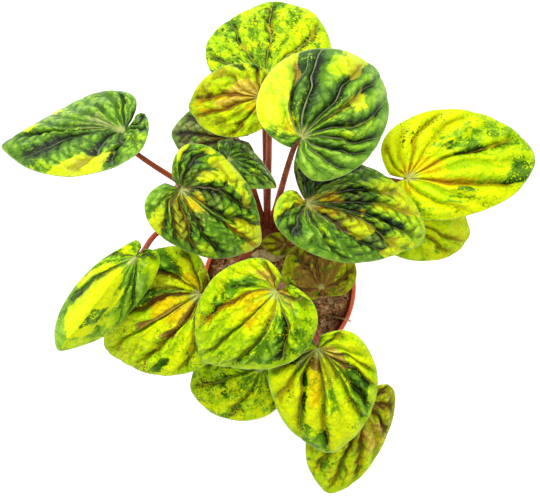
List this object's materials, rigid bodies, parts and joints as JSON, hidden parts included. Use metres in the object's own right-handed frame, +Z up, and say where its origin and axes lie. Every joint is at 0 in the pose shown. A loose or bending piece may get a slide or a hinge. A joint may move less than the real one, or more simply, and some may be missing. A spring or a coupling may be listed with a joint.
{
  "type": "potted peperomia",
  "caption": "Small potted peperomia: broad heart-shaped, deeply ridged leaves variegated yellow and green on red-brown stalks, in a thin terracotta-coloured plastic nursery pot.",
  "frame": {"origin": "centre of the pot's flat base", "axes": "+Z up, +Y towards the back of the plant, which is the top of the picture, +X to the picture's right"},
  "size_m": [0.2527, 0.2429, 0.1797],
  "materials": {
    "pot": "satin terracotta-coloured plastic outside, nearly black inside",
    "soil": "coarse brown coir and bark chips",
    "stem": "smooth fleshy red-brown stalk",
    "leaf_back_large": "waxy leaf, dark green ridges with a solid yellow sector",
    "leaf_back_top": "waxy leaf, lime marbled with green",
    "leaf_back_tan": "waxy leaf, yellow-lime with tan ridges",
    "leaf_far_left": "waxy leaf, dark green with a few yellow patches",
    "leaf_left_large": "waxy leaf, green ridges with yellow patches",
    "leaf_left_curled": "waxy leaf, plain mid green",
    "leaf_left_dull": "waxy leaf, dull grey-green",
    "leaf_far_right": "waxy leaf, bright yellow with green mottling",
    "leaf_right_low": "waxy leaf, olive yellow",
    "leaf_right_dark": "waxy leaf, grey-green ridges with orange-yellow patches",
    "leaf_front_middle": "waxy leaf, lime with green mottling and golden ridges",
    "leaf_front_left": "waxy leaf, olive lime with brown valleys",
    "leaf_front_folded": "waxy leaf, green margins round a yellow middle",
    "leaf_front_small": "waxy leaf, lime and dark green mosaic",
    "leaf_front_right": "waxy leaf, lime with an orange-yellow ridge",
    "leaf_front_low": "waxy leaf, olive and brown mottled",
    "leaf_low_brown": "waxy leaf, brown middle with an olive margin",
    "leaf_young": "waxy leaf, dark olive brown"
  },
  "bodies": {
    "root": {"pot": "pot", "soil": "soil", "stem_main": "stem", "stem_side": "stem", "leaf_back_large": "leaf_back_large", "leaf_back_top": "leaf_back_top", "leaf_back_tan": "leaf_back_tan", "leaf_far_left": "leaf_far_left", "leaf_left_large": "leaf_left_large", "leaf_left_curled": "leaf_left_curled", "leaf_left_dull": "leaf_left_dull", "leaf_far_right": "leaf_far_right", "leaf_right_low": "leaf_right_low", "leaf_right_dark": "leaf_right_dark", "leaf_front_middle": "leaf_front_middle", "leaf_front_left": "leaf_front_left", "leaf_front_folded": "leaf_front_folded", "leaf_front_small": "leaf_front_small", "leaf_front_right": "leaf_front_right", "leaf_front_low": "leaf_front_low", "leaf_low_brown": "leaf_low_brown", "leaf_young": "leaf_young"}
  },
  "joints": []
}
